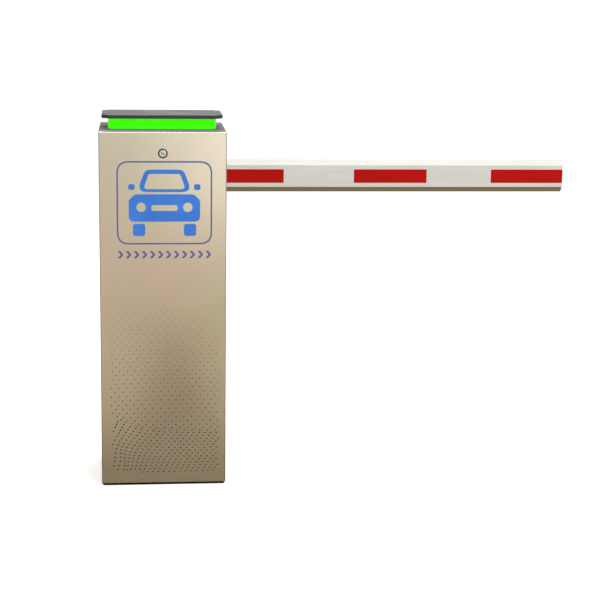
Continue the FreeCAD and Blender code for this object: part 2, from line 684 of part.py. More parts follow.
def make_output_shaft():
    return rod_y(OUTPUT_R, SHAFT_X, OUTPUT_Z, (22.0, LEVER_Y[1]))


def make_worm_wheel():
    """Bronze wheel with straight-flanked teeth, keyed to the output shaft."""
    ys = (GEAR_Y - 10.0, GEAR_Y + 10.0)
    root_r = WHEEL_R - 6.0
    pitch = 360.0 / WHEEL_TEETH
    outline = []
    for tooth in range(WHEEL_TEETH):
        for radius, part in ((root_r, 0.0), (root_r, 0.35), (WHEEL_R, 0.52), (WHEEL_R, 0.83)):
            x, z = polar(SHAFT_X, OUTPUT_Z, radius, pitch * (tooth + part))
            outline.append((x, ys[0], z))
    wheel = prism(outline, FreeCAD.Vector(0, ys[1] - ys[0], 0))
    wheel = wheel.cut(rod_y(OUTPUT_R + 0.1, SHAFT_X, OUTPUT_Z, (ys[0] - 1, ys[1] + 1)))
    for angle in range(0, 360, 60):
        x, z = polar(SHAFT_X, OUTPUT_Z, 30.0, angle)
        wheel = wheel.cut(rod_y(6.0, x, z, (ys[0] - 1, ys[1] + 1)))
    return wheel


def make_worm_shaft():
    """Worm and its shaft; the thread is a plain ribbed roller just clear of the wheel."""
    shaft = rod_x(WORM_SHAFT_R, GEAR_Y, WORM_Z, (-140.0, 126.0))
    roller = rod_x(WORM_R, GEAR_Y, WORM_Z, (8.0, 72.0))
    for step in range(7):
        start = 12.0 + 8.0 * step
        groove = rod_x(WORM_R + 1, GEAR_Y, WORM_Z, (start, start + 4.0))
        roller = roller.cut(groove.cut(rod_x(WORM_R - 4, GEAR_Y, WORM_Z, (start - 1, start + 5.0))))
    rotor = rod_x(ROTOR_R, GEAR_Y, WORM_Z, (-128.0, -58.0))
    return shaft.fuse([roller, rotor]).removeSplitter()


def make_handwheel():
    """Manual release wheel on the free end of the worm shaft."""
    rim_r = 28.0
    rim = Part.makeTorus(rim_r, 4.0, FreeCAD.Vector(HANDWHEEL_X, GEAR_Y, WORM_Z), X_AXIS)
    hub = rod_x(13.0, GEAR_Y, WORM_Z, (HANDWHEEL_X - 8.0, HANDWHEEL_X + 9.0))
    pieces = [rim, hub]
    for turn in (0, 120, 240):
        spoke = rod_z(3.5, HANDWHEEL_X, GEAR_Y, (WORM_Z, WORM_Z + rim_r))
        pieces.append(turned(spoke, X_AXIS, turn, (HANDWHEEL_X, GEAR_Y, WORM_Z)))
    wheel = pieces[0].fuse(pieces[1:])
    return wheel.cut(rod_x(WORM_SHAFT_R + 0.1, GEAR_Y, WORM_Z, (100.0, 130.0))).removeSplitter()


def make_gearbox_housing():
    housing = rounded_box(GEARBOX_X, GEARBOX_Y, (SHELF_TOP, GEARBOX_TOP), 8.0, Y_AXIS)
    inside_x = (GEARBOX_X[0] + GEARBOX_WALL, GEARBOX_X[1] - GEARBOX_WALL)
    inside_y = (GEARBOX_Y[0] - 10.0, GEARBOX_Y[1] - GEARBOX_WALL)
    cavity = rounded_box(inside_x, inside_y, (SHELF_TOP + 24.0, GEARBOX_TOP - 10.0), 6.0, Y_AXIS)
    housing = housing.cut(cavity)
    housing = housing.cut(rod_y(OUTPUT_R + FIT, SHAFT_X, OUTPUT_Z, (60.0, 80.0)))
    housing = housing.cut(rod_x(WORM_SHAFT_R + FIT, GEAR_Y, WORM_Z, (GEARBOX_X[0] - 5, GEARBOX_X[1] + 5)))
    boss = rod_y(24.0, SHAFT_X, OUTPUT_Z, (GEARBOX_Y[1], GEARBOX_Y[1] + 4.0))
    boss = boss.cut(rod_y(OUTPUT_R + FIT, SHAFT_X, OUTPUT_Z, (GEARBOX_Y[1] - 2, GEARBOX_Y[1] + 8)))
    return housing.fuse(boss).removeSplitter()


def make_gearbox_cover():
    ys = (GEARBOX_Y[0] - COVER_THICK, GEARBOX_Y[0])
    cover = rounded_box(GEARBOX_X, ys, (SHELF_TOP, GEARBOX_TOP), 8.0, Y_AXIS)
    boss = rod_y(22.0, SHAFT_X, OUTPUT_Z, (ys[0] - 6.0, ys[0]))
    return cover.fuse(boss).removeSplitter()


def make_motor_housing():
    """Finned motor body with a square flange against the gearbox."""
    body = rod_x(MOTOR_R, GEAR_Y, WORM_Z, MOTOR_X)
    fin_x = (MOTOR_X[0] + 10.0, MOTOR_X[1] - 10.0)
    fins = []
    for step in range(18):
        fin = box(fin_x, (GEAR_Y - 1.2, GEAR_Y + 1.2), (WORM_Z + MOTOR_R - 2.0, WORM_Z + MOTOR_R + 3.0))
        fins.append(turned(fin, X_AXIS, 20.0 * step, (0, GEAR_Y, WORM_Z)))
    flange_x = (MOTOR_X[1], GEARBOX_X[0])
    flange = rounded_box(flange_x, (GEAR_Y - 34, GEAR_Y + 34), (WORM_Z - 40, WORM_Z + 40), 8.0, X_AXIS)
    motor = body.fuse(fins + [flange])
    motor = motor.cut(rod_x(MOTOR_BORE_R, GEAR_Y, WORM_Z, (MOTOR_X[0] + 6.0, MOTOR_X[1] - 8.0)))
    return motor.cut(rod_x(WORM_SHAFT_R + 0.4, GEAR_Y, WORM_Z, (-50.0, -20.0))).removeSplitter()


def make_gearbox_shelf():
    """Bracket on the mechanism plate; notched so that the springs pass."""
    zs = (SHELF_TOP - SHELF_THICK, SHELF_TOP)
    rear_x = (0.0, 118.0)
    front_part = box((-60.0, rear_x[1]), (GEARBOX_Y[0] - 10.0, GEARBOX_Y[1]), zs)
    rear_part = box(rear_x, (GEARBOX_Y[1], PLATE_Y[0]), zs)
    flange = box(rear_x, (BRACKET_Y, PLATE_Y[0]), (330.0, zs[0]))
    pieces = [rear_part, flange]
    for x in (4.0, 108.0):
        outline = [(x, BRACKET_Y, zs[0]), (x, BRACKET_Y, 335.0), (x, 40.0, zs[0])]
        pieces.append(prism(outline, FreeCAD.Vector(6.0, 0, 0)))
    return front_part.fuse(pieces).removeSplitter()


# ---------------------------------------------------------------- balance springs
def spring_places():
    x = spring_pin_place()[0]
    middle = (BALANCE_Y[0] + BALANCE_Y[1]) / 2
    return [(x, middle - SPRING_OFFSET), (x, middle + SPRING_OFFSET)]


def make_balance_springs():
    """Two extension springs as plain tubes with hooks."""
    springs = []
    pin_z = spring_pin_place()[1]
    body_z = (SPRING_FOOT_Z + 22.0, pin_z - 36.0)
    for x, y in spring_places():
        tube = rod_z(SPRING_R, x, y, body_z)
        tube = tube.cut(rod_z(SPRING_R - 2.5, x, y, (body_z[0] + 2, body_z[1] - 2)))
        low_hook = Part.makeTorus(7.0, SPRING_WIRE, FreeCAD.Vector(x, y, SPRING_FOOT_Z + 7.0), Y_AXIS)
        high_hook = Part.makeTorus(7.0, SPRING_WIRE, FreeCAD.Vector(x, y, pin_z - 1.0), Y_AXIS)
        low_stem = rod_z(SPRING_WIRE, x, y, (SPRING_FOOT_Z + 14.0, body_z[0]))
        high_stem = rod_z(SPRING_WIRE, x, y, (body_z[1], pin_z - 8.0))
        springs.append(tube.fuse([low_hook, high_hook, low_stem, high_stem]).removeSplitter())
    return group(springs)


def make_spring_anchor():
    """Gusseted ledge on the mechanism plate."""
    x = spring_pin_place()[0]
    xs = (x - 30.0, x + 30.0)
    under = ANCHOR_TOP - ANCHOR_THICK
    ledge = box(xs, (78.0, PLATE_Y[0]), (under, ANCHOR_TOP))
    pieces = [box(xs, (BRACKET_Y, PLATE_Y[0]), (under - 45.0, under))]
    for side in (xs[0], xs[1] - 5.0):
        outline = [(side, BRACKET_Y, under), (side, BRACKET_Y, under - 40.0), (side, 84.0, under)]
        pieces.append(prism(outline, FreeCAD.Vector(5.0, 0, 0)))
    bracket = ledge.fuse(pieces)
    for sx, sy in spring_places():
        bracket = bracket.cut(rod_z(5.2, sx, sy, (under - 10.0, ANCHOR_TOP + 12.0)))
    return bracket.removeSplitter()


def make_eye_bolts():
    """Adjusting eye bolts with a nut above and below the anchor."""
    pieces = []
    for x, y in spring_places():
        eye = Part.makeTorus(8.5, 2.5, FreeCAD.Vector(x, y, SPRING_FOOT_Z - 4.0), X_AXIS)
        stem = rod_z(5.0, x, y, (222.0, SPRING_FOOT_Z - 12.0))
        pieces.append(eye.fuse(stem).removeSplitter())
        for low in (ANCHOR_TOP - ANCHOR_THICK - 7.0, ANCHOR_TOP):
            nut = turned(hexagon(16.0, x, 0, (-low - 7.0, -low)), X_AXIS, -90)
            nut = moved(nut, 0, y, 0).cut(rod_z(5.05, x, y, (200.0, 280.0)))
            pieces.append(nut)
    return group(pieces)


# ---------------------------------------------------------------- electrical equipment
def make_equipment_plate():
    plate = rounded_box((-168.0, -52.0), (-40.0, -38.0), (480.0, 900.0), 6.0, Y_AXIS)
    flange = box((-173.0, -171.0), (-40.0, 0.0), (500.0, 880.0))
    web = box((-173.0, -160.0), (-40.0, -38.0), (500.0, 880.0))
    return plate.fuse([flange, web]).removeSplitter()


def make_controller_box():
    wall = 2.5
    front = EQUIPMENT_Y - 40.0
    outer = rounded_box(CONTROLLER_X, (front, EQUIPMENT_Y), CONTROLLER_Z, 5.0, Y_AXIS)
    inside_x = (CONTROLLER_X[0] + wall, CONTROLLER_X[1] - wall)
    inside_z = (CONTROLLER_Z[0] + wall, CONTROLLER_Z[1] - wall)
    return outer.cut(rounded_box(inside_x, (front - 1, EQUIPMENT_Y - wall), inside_z, 3.0, Y_AXIS))


def make_controller_cover():
    ys = (EQUIPMENT_Y - 44.0, EQUIPMENT_Y - 40.0)
    cover = rounded_box(CONTROLLER_X, ys, CONTROLLER_Z, 5.0, Y_AXIS)
    rim = [edge for edge in cover.Edges if edge.CenterOfMass.y < ys[0] + 0.1]
    return cover.makeFillet(1.5, rim)


def make_din_rail():
    """35 mm top-hat rail."""
    base = box((-160.0, -60.0), (-46.5, -40.0), (511.0, 526.0))
    hollow = box((-161.0, -59.0), (-45.3, -39.0), (512.2, 524.8))
    wings = box((-160.0, -60.0), (-47.5, -46.3), (500.0, 537.0))
    keep_open = box((-161.0, -59.0), (-48.0, -45.0), (512.2, 524.8))
    return base.cut(hollow).fuse(wings.cut(keep_open)).removeSplitter()


def make_terminal_block():
    blocks = []
    for step in range(9):
        start = -154.0 + 10.0 * step
        block = box((start, start + 9.4), (-85.0, -47.8), (496.0, 541.0))
        block = block.cut(rod_y(3.0, start + 4.7, 504.0, (-86.0, -70.0)))
        block = block.cut(rod_y(3.0, start + 4.7, 533.0, (-86.0, -70.0)))
        blocks.append(block)
    return group(blocks)


def make_power_supply():
    """Sheet case with cooling slots in its front."""
    case = rounded_box(SUPPLY_X, SUPPLY_Y, (BASE_TOP, SUPPLY_TOP), 2.0, X_AXIS)
    inside_x = (SUPPLY_X[0] + SUPPLY_WALL, SUPPLY_X[1] - SUPPLY_WALL)
    inside_y = (SUPPLY_Y[0] + SUPPLY_WALL, SUPPLY_Y[1] - SUPPLY_WALL)
    case = case.cut(box(inside_x, inside_y, (BASE_TOP + SUPPLY_WALL, SUPPLY_TOP - SUPPLY_WALL)))
    slot_x = (SUPPLY_X[0] + 15.0, SUPPLY_X[1] - 15.0)
    slot_y = (SUPPLY_Y[0] - 1, SUPPLY_Y[0] + 2)
    for step in range(8):
        z = 95.0 + 8.0 * step
        case = case.cut(box(slot_x, slot_y, (z, z + 3.0)))
    return case


# ---------------------------------------------------------------- lamp and top cap
def post_places():
    return [(x, LAMP_Y + y) for x, y in corners(125.0, 40.0)]


def stadium(width, depth, zs, radius):
    return rounded_box((-width / 2, width / 2), (LAMP_Y - depth / 2, LAMP_Y + depth / 2), zs, radius, Z_AXIS)


def make_lamp_diffuser():
    zs = (CABINET_TOP, CABINET_TOP + LAMP_HEIGHT)
    outer = stadium(LAMP_WIDTH, LAMP_DEPTH, zs, 22.0)
    rims = []
    for edge in outer.Edges:
        at_end = abs(edge.CenterOfMass.z - zs[0]) < 0.1 or abs(edge.CenterOfMass.z - zs[1]) < 0.1
        if at_end:
            rims.append(edge)
    outer = outer.makeFillet(2.0, rims)
    return outer.cut(stadium(LAMP_WIDTH - 8.0, LAMP_DEPTH - 8.0, (zs[0] - 1, zs[1] + 1), 18.0))


def make_led_carrier():
    zs = (CABINET_TOP, CABINET_TOP + 25.0)
    outer = stadium(LAMP_WIDTH - 26.0, LAMP_DEPTH - 26.0, zs, 12.0)
    return outer.cut(stadium(LAMP_WIDTH - 30.0, LAMP_DEPTH - 30.0, (zs[0] - 1, zs[1] + 1), 10.0))


def make_led_strips():
    strips = []
    zs = (CABINET_TOP + 9.0, CABINET_TOP + 17.0)
    half_x = LAMP_WIDTH / 2 - 13.0
    half_y = LAMP_DEPTH / 2 - 13.0
    for side in (-1, 1):
        near = LAMP_Y + side * half_y
        far = LAMP_Y + side * (half_y + 1.5)
        strips.append(box((-half_x + 16, half_x - 16), (min(near, far), max(near, far)), zs))
        near = side * half_x
        far = side * (half_x + 1.5)
        strips.append(box((min(near, far), max(near, far)), (LAMP_Y - half_y + 16, LAMP_Y + half_y - 16), zs))
    return group(strips)


def make_cap_posts():
    posts = []
    for x, y in post_places():
        post = rod_z(6.0, x, y, (CABINET_TOP, CAP_TOP - CAP_THICK))
        posts.append(post.fuse(rod_z(3.0, x, y, (DECK_UNDER - 8.0, CABINET_TOP))).removeSplitter())
    return group(posts)


def clipped_plate(width, depth, zs, clip):
    """Plate centred over the lamp, its corners cut off at 45 degrees."""
    x = width / 2
    y = depth / 2
    outline = [(clip - x, -y), (x - clip, -y), (x, clip - y), (x, y - clip),
               (x - clip, y), (clip - x, y), (-x, y - clip), (-x, clip - y)]
    return prism([(px, LAMP_Y + py, zs[0]) for px, py in outline], FreeCAD.Vector(0, 0, zs[1] - zs[0]))


def make_top_cap():
    """Folded tray over the lamp: a flat top with a rim, filled out where the lamp meets it."""
    zs = (CAP_TOP - CAP_THICK, CAP_TOP)
    rim = 3.0
    cap = clipped_plate(CAP_WIDTH, CAP_DEPTH, zs, CAP_CLIP)
    top_rim = [edge for edge in cap.Edges if edge.CenterOfMass.z > CAP_TOP - 0.1]
    cap = cap.makeFillet(1.2, top_rim)
    under = (zs[0] - 1, zs[0] + rim)
    hollow = clipped_plate(CAP_WIDTH - 2 * rim, CAP_DEPTH - 2 * rim, under, CAP_CLIP - rim)
    seat = stadium(LAMP_WIDTH + 4.0, LAMP_DEPTH + 4.0, under, 24.0)
    return cap.cut(hollow.cut(seat))


PIECES = {
    "base_gasket": make_base_gasket,
    "base_plate": make_base_plate,
    "cable_grommet": make_cable_grommet,
    "side_panel_left": lambda: make_side_panel(-1),
    "side_panel_right": lambda: make_side_panel(1),
    "rear_panel": make_rear_panel,
    "panel_screws": make_panel_screws,
    "top_deck": make_top_deck,
    "header_rail": make_header_rail,
    "front_door": make_front_door,
    "door_gasket": make_door_gasket,
    "hinge_pins": make_hinge_pins,
    "door_hooks": make_door_hooks,
    "lock_housing": make_lock_housing,
    "lock_nut": make_lock_nut,
    "lock_plug": make_lock_plug,
    "lock_cam": make_lock_cam,
    "cam_screw": make_cam_screw,
    "mechanism_plate": make_mechanism_plate,
    "foot_angle": make_foot_angle,
    "bearing_plate": make_bearing_plate,
    "plate_spacers": make_plate_spacers,
    "shaft_bearings": make_shaft_bearings,
    "machine_screws": make_machine_screws,
    "stop_buffers": make_stop_buffers,
    "limit_switches": make_limit_switches,
    "main_shaft": make_main_shaft,
    "boom_flange": make_boom_flange,
    "clamp_plates": make_clamp_plates,
    "clamp_bolts": make_clamp_bolts,
    "boom_tube": make_boom_tube,
    "boom_end_caps": make_boom_end_caps,
    "boom_stripes": make_boom_stripes,
    "drive_lever": make_drive_lever,
    "balance_lever": make_balance_lever,
    "switch_cam": make_switch_cam,
    "connecting_rod": make_connecting_rod,
    "crank_arm": make_crank_arm,
    "output_shaft": make_output_shaft,
    "worm_wheel": make_worm_wheel,
    "worm_shaft": make_worm_shaft,
    "handwheel": make_handwheel,
    "gearbox_housing": make_gearbox_housing,
    "gearbox_cover": make_gearbox_cover,
    "motor_housing": make_motor_housing,
    "gearbox_shelf": make_gearbox_shelf,
    "balance_springs": make_balance_springs,
    "spring_anchor": make_spring_anchor,
    "eye_bolts": make_eye_bolts,
    "equipment_plate": make_equipment_plate,
    "controller_box": make_controller_box,
    "controller_cover": make_controller_cover,
    "din_rail": make_din_rail,
    "terminal_block": make_terminal_block,
    "power_supply": make_power_supply,
    "lamp_diffuser": make_lamp_diffuser,
    "led_carrier": make_led_carrier,
    "led_strips": make_led_strips,
    "cap_posts": make_cap_posts,
    "top_cap": make_top_cap,
}

os.makedirs("parts", exist_ok=True)
for node, make in PIECES.items():
    shape = make()
    if not shape.isValid():
        raise ValueError(node + " is not a valid shape")
    shape.exportStep("parts/" + node + ".step")
    print(node, len(shape.Solids), "solids", round(shape.Volume / 1000.0, 1), "cm3")
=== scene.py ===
import json
import math

import bmesh
import bpy
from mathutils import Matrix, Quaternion, Vector


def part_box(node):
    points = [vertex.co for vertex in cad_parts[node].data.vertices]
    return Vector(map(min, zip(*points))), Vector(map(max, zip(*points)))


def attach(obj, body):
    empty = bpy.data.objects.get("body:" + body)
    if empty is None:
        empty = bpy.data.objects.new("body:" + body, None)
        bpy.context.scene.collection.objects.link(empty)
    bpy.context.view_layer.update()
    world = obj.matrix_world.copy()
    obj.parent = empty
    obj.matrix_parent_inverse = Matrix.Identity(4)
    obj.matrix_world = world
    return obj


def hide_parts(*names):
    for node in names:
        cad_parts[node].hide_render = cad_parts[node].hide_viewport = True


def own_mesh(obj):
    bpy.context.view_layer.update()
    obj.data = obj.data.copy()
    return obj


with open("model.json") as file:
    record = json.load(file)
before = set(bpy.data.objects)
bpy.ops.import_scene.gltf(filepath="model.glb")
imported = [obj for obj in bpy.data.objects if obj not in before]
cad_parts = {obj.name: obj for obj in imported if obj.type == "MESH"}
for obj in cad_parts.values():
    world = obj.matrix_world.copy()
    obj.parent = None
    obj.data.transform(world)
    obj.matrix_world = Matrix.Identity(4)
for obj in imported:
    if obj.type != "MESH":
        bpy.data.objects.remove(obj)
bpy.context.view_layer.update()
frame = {"nodes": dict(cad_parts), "record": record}
nodes = frame["nodes"]
MM = 0.001

# ------------------------------------------------------------------ places read from the frame
door_low, door_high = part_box("front_door")
boom_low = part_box("boom_tube")[0]
lock_low, lock_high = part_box("lock_housing")
plug_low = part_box("lock_plug")[0]
spring_low, spring_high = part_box("balance_springs")
DOOR_FACE = door_low.y
LOCK_Z = (lock_low.z + lock_high.z) / 2


# ------------------------------------------------------------------ node helpers
def new_material(name, colour, metallic, roughness, **sockets):
    """A Principled material with its constant values set on the shader's own sockets."""
    material = bpy.data.materials.new(name)
    material.use_nodes = True
    shader = material.node_tree.nodes["Principled BSDF"]
    shader.inputs["Base Color"].default_value = (*colour, 1.0)
    shader.inputs["Metallic"].default_value = metallic
    shader.inputs["Roughness"].default_value = roughness
    for socket, value in sockets.items():
        shader.inputs[socket.replace("_", " ")].default_value = value
    return material


def add(material, kind, settings=None, **inputs):
    """A node with its settings and its input values or links."""
    made = material.node_tree.nodes.new(kind)
    for key, value in (settings or {}).items():
        setattr(made, key, value)
    for key, value in inputs.items():
        socket = made.inputs[int(key[1:])] if key[1:].isdigit() else made.inputs[key.replace("_", " ")]
        if isinstance(value, bpy.types.NodeSocket):
            material.node_tree.links.new(value, socket)
        else:
            socket.default_value = value
    return made


def feed(material, value, socket):
    shader = material.node_tree.nodes["Principled BSDF"]
    material.node_tree.links.new(value, shader.inputs[socket])


def object_point(material, scale):
    """Object coordinates in metres, stretched by scale."""
    source = add(material, "ShaderNodeTexCoord").outputs["Object"]
    return add(material, "ShaderNodeMapping", Vector=source, Scale=scale).outputs["Vector"]


def object_axes(material):
    """Object coordinates in metres, one output for each axis."""
    source = add(material, "ShaderNodeTexCoord").outputs["Object"]
    return add(material, "ShaderNodeSeparateXYZ", Vector=source).outputs


def noise(material, scale, detail=3.0, rough=0.55, distortion=0.0):
    point = object_point(material, scale)
    made = add(material, "ShaderNodeTexNoise", Vector=point, Scale=1.0, Detail=detail,
               Roughness=rough, Distortion=distortion)
    return made.outputs["Fac"]


def stretch(material, value, low, high, from_low=0.3, from_high=0.7):
    made = add(material, "ShaderNodeMapRange", Value=value, From_Min=from_low, From_Max=from_high,
               To_Min=low, To_Max=high)
    return made.outputs["Result"]


def blend_colours(material, factor, first, second):
    made = add(material, "ShaderNodeMix", {"data_type": "RGBA"})
    links = material.node_tree.links
    links.new(factor, made.inputs[0])
    for index, colour in ((6, first), (7, second)):
        if isinstance(colour, bpy.types.NodeSocket):
            links.new(colour, made.inputs[index])
        else:
            made.inputs[index].default_value = (*colour, 1.0)
    return made.outputs[2]


def multiply_colours(material, first, second):
    made = add(material, "ShaderNodeMix", {"data_type": "RGBA", "blend_type": "MULTIPLY"}, _0=1.0)
    material.node_tree.links.new(first, made.inputs[6])
    material.node_tree.links.new(second, made.inputs[7])
    return made.outputs[2]


def math_node(material, operation, first, second=0.0):
    return add(material, "ShaderNodeMath", {"operation": operation}, _0=first, _1=second).outputs[0]


def bump(material, height, strength, distance, normal=None):
    made = add(material, "ShaderNodeBump", Height=height, Strength=strength, Distance=distance)
    if normal is not None:
        material.node_tree.links.new(normal, made.inputs["Normal"])
    return made.outputs["Normal"]


def shade(colour, factor):
    return tuple(channel * factor for channel in colour)


# ------------------------------------------------------------------ materials
def brushed_metal(name, colour, roughness, grain, sag=None):
    """Brushed sheet: fine lines along the short axis of grain, and faint pink and green tint clouds that are
    a painted reflection.

    The sheet isn't perfectly flat: sag gives its own height function, or it gets soft random waves.
    """
    material = new_material(name, colour, 1.0, roughness)
    red, green, blue = colour
    lines = noise(material, grain, 4.0, 0.6)
    cloud = noise(material, (4.0, 4.0, 3.2), 2.0)
    # painted reflection: random clouds of pink and green tint stand in for reflected surroundings
    painted_reflection_tint = noise(material, (2.6, 2.6, 2.1), 2.0, 0.5, 0.4)
    pinker = (red * 1.04, green * 0.965, blue * 0.98)
    greener = (red * 0.97, green * 1.02, blue * 0.97)
    hue = blend_colours(material, stretch(material, painted_reflection_tint, 0.0, 1.0), pinker, greener)
    tone = blend_colours(material, stretch(material, cloud, 0.0, 1.0), (0.92, 0.92, 0.92), (1.0, 1.0, 1.0))
    fine = blend_colours(material, stretch(material, lines, 0.0, 1.0), (0.975, 0.975, 0.975), (1.0, 1.0, 1.0))
    shaded = multiply_colours(material, multiply_colours(material, hue, tone), fine)
    feed(material, shaded, "Base Color")
    feed(material, stretch(material, lines, roughness - 0.025, roughness + 0.03), "Roughness")
    if sag is None:
        flatness = bump(material, noise(material, (4.6, 4.6, 2.4), 1.0, 0.4), 1.0, 0.004)
    else:
        flatness = bump(material, sag(material), 1.0, SAG)
    feed(material, bump(material, lines, 0.05, 0.00006, flatness), "Normal")
    return material


def moulded(name, colour, roughness, size=0.0012, depth=0.00004, **sockets):
    """Plastic, rubber or paint: faint colour clouds and a fine surface texture."""
    material = new_material(name, colour, 0.0, roughness, **sockets)
    grain = noise(material, (1 / size,) * 3, 3.0)
    cloud = noise(material, (14.0,) * 3, 3.0)
    share = stretch(material, cloud, 0.0, 1.0)
    tone = blend_colours(material, share, shade(colour, 0.86), shade(colour, 1.10))
    feed(material, tone, "Base Color")
    feed(material, stretch(material, cloud, roughness - 0.05, roughness + 0.08), "Roughness")
    feed(material, bump(material, grain, 0.35, depth), "Normal")
    return material


def machined(name, colour, roughness, grain=(900.0, 60.0, 900.0)):
    """Turned or ground steel with fine tool marks and a few darker oily patches."""
    material = new_material(name, colour, 1.0, roughness)
    marks = noise(material, grain, 3.0)
    oil = noise(material, (22.0,) * 3, 4.0, 0.6)
    tone = blend_colours(material, stretch(material, oil, 0.0, 1.0, 0.35, 0.75), colour, shade(colour, 0.72))
    feed(material, tone, "Base Color")
    feed(material, stretch(material, marks, roughness - 0.06, roughness + 0.10), "Roughness")
    feed(material, bump(material, marks, 0.3, 0.00005), "Normal")
    return material


def zinc_plated(name, colour):
    """Galvanised plate: small crystals that differ a little in tone."""
    material = new_material(name, colour, 1.0, 0.42)
    point = object_point(material, (75.0,) * 3)
    cells = add(material, "ShaderNodeTexVoronoi", Vector=point, Scale=1.0)
    grey = add(material, "ShaderNodeRGBToBW", Color=cells.outputs["Color"]).outputs["Val"]
    tone = blend_colours(material, grey, shade(colour, 0.84), shade(colour, 1.12))
    feed(material, tone, "Base Color")
    feed(material, stretch(material, grey, 0.36, 0.52, 0.0, 1.0), "Roughness")
    feed(material, bump(material, noise(material, (500.0,) * 3), 0.2, 0.00004), "Normal")
    return material


SAG = 3.7 * MM                   # how far the lower half of the door's sheet is out of flat
SAG_WIDTH = 195 * MM
SAG_X = -160 * MM
SAG_LOW = 90 * MM
SAG_HIGH = 530 * MM


def door_sag(material):
    """A slow wave across the foot of the door that dies out towards its middle."""
    axes = object_axes(material)
    phase = math_node(material, "MULTIPLY", math_node(material, "SUBTRACT", axes["X"], SAG_X),
                      math.pi / SAG_WIDTH)
    fade = add(material, "ShaderNodeMapRange", {"interpolation_type": "SMOOTHSTEP"}, Value=axes["Z"],
               From_Min=SAG_LOW, From_Max=SAG_HIGH, To_Min=1.0, To_Max=0.0).outputs["Result"]
    return math_node(material, "MULTIPLY", math_node(material, "COSINE", phase), fade)


STAINLESS = (0.71, 0.645, 0.54)


def door_sheet(name):
    """The door's sheet, with painted shade: its colour darkens along the bends at the side edges."""
    material = brushed_metal(name, STAINLESS, 0.195, (1500.0, 1500.0, 9.0), sag=door_sag)
    shader = material.node_tree.nodes["Principled BSDF"]
    surface = shader.inputs["Base Color"].links[0].from_socket
    axes = object_axes(material)
    across = math_node(material, "ABSOLUTE", axes["X"])
    # painted shade: the base colour falls to 0.62 within about 3 mm of each side edge, at the bends
    painted_bend_shade = stretch(material, across, 0.0, 1.0, door_high.x - 3.2 * MM, door_high.x - 2.2 * MM)
    painted_bend_shade_factor = blend_colours(material, painted_bend_shade, (1.0, 1.0, 1.0), (0.62, 0.62, 0.64))
    feed(material, multiply_colours(material, surface, painted_bend_shade_factor), "Base Color")
    return material


def reflective_film(name, colour):
    """Red retroreflective film: small hexagonal cells under a clear face."""
    material = new_material(name, colour, 0.0, 0.5, Specular_IOR_Level=0.05)
    axes = object_axes(material)
    pitch = 0.0052
    rows = math_node(material, "DIVIDE", axes["Z"], pitch * math.sqrt(3))
    columns = math_node(material, "DIVIDE", axes["X"], pitch)
    edges = []
    for offset in (0.0, 0.5):
        across = math_node(material, "FRACT", math_node(material, "ADD", columns, offset))
        along = math_node(material, "FRACT", math_node(material, "ADD", rows, offset))
        dx = math_node(material, "SUBTRACT", across, 0.5)
        dz = math_node(material, "MULTIPLY", math_node(material, "SUBTRACT", along, 0.5), math.sqrt(3))
        square_x = math_node(material, "POWER", math_node(material, "ABSOLUTE", dx), 2.0)
        square_z = math_node(material, "POWER", math_node(material, "ABSOLUTE", dz), 2.0)
        square = math_node(material, "ADD", square_x, square_z)
        edges.append(math_node(material, "SQRT", square))
    nearest = math_node(material, "MINIMUM", edges[0], edges[1])
    rim = stretch(material, nearest, 0.0, 1.0, 0.44, 0.54)
    tone = blend_colours(material, rim, colour, shade(colour, 0.62))
    worn = blend_colours(material, stretch(material, noise(material, (6.0, 6.0, 30.0)), 0.0, 0.25), tone,
                         shade(colour, 1.35))
    feed(material, worn, "Base Color")
    feed(material, bump(material, rim, 0.25, 0.00005), "Normal")
    return material


def boom_paint(name):
    """Off-white powder coat: draw lines along the extrusion, road dust, and painted shade on the lower
    chamfers.
    """
    colour = (0.557, 0.551, 0.509)
    material = new_material(name, colour, 0.0, 0.36, Coat_Weight=0.15, Coat_Roughness=0.2)
    lines = noise(material, (1.5, 420.0, 420.0), 2.0)
    dust = noise(material, (7.0, 40.0, 40.0), 4.0, 0.6)
    share = stretch(material, dust, 0.0, 1.0)
    tone = blend_colours(material, share, shade(colour, 0.94), shade(colour, 1.05))
    axes = object_axes(material)
    # painted shade: below the top of the lower chamfers the colour turns dark brown
    chamfer_top = boom_low.z + 16.0 * MM
    under = stretch(material, axes["Z"], 1.0, 0.0, chamfer_top - 1.0 * MM, chamfer_top + 0.5 * MM)
    painted_chamfer_shade = blend_colours(material, under, tone, (0.285, 0.238, 0.151))
    peel = noise(material, (700.0,) * 3, 2.0)
    feed(material, painted_chamfer_shade, "Base Color")
    feed(material, stretch(material, dust, 0.32, 0.46), "Roughness")
    ridges = bump(material, lines, 0.15, 0.00008)
    feed(material, bump(material, peel, 0.2, 0.00003, ridges), "Normal")
    return material


def lit_diffuser(name):
    """Frosted green band lit from inside; slightly uneven, as over a row of LEDs."""
    glow = (0.05, 0.97, 0.001)
    material = new_material(name, (0.01, 0.12, 0.004), 0.0, 0.6, Specular_IOR_Level=0.03,
                            Emission_Strength=1.0)
    spots = noise(material, (45.0, 45.0, 20.0), 1.0)
    tone = blend_colours(material, stretch(material, spots, 0.0, 1.0), shade(glow, 0.93), shade(glow, 1.04))
    feed(material, tone, "Emission Color")
    feed(material, bump(material, noise(material, (1200.0,) * 3), 0.2, 0.00003), "Normal")
    return material


def led_tape(name):
    """White LED tape with square diodes."""
    material = new_material(name, (0.85, 0.88, 0.82), 0.0, 0.5, Emission_Strength=1.5)
    axes = object_axes(material)
    run = math_node(material, "ADD", axes["X"], axes["Y"])
    cell = math_node(material, "FRACT", math_node(material, "DIVIDE", run, 0.016))
    diode = math_node(material, "LESS_THAN", cell, 0.35)
    feed(material, blend_colours(material, diode, (0.02, 0.10, 0.01), (0.35, 1.0, 0.25)), "Emission Color")
    return material


def vinyl(name, colour):
    """Printed film on the door: even colour with a faint mottle."""
    return moulded(name, colour, 0.5, 0.0008, 0.00002, Specular_IOR_Level=0.2)


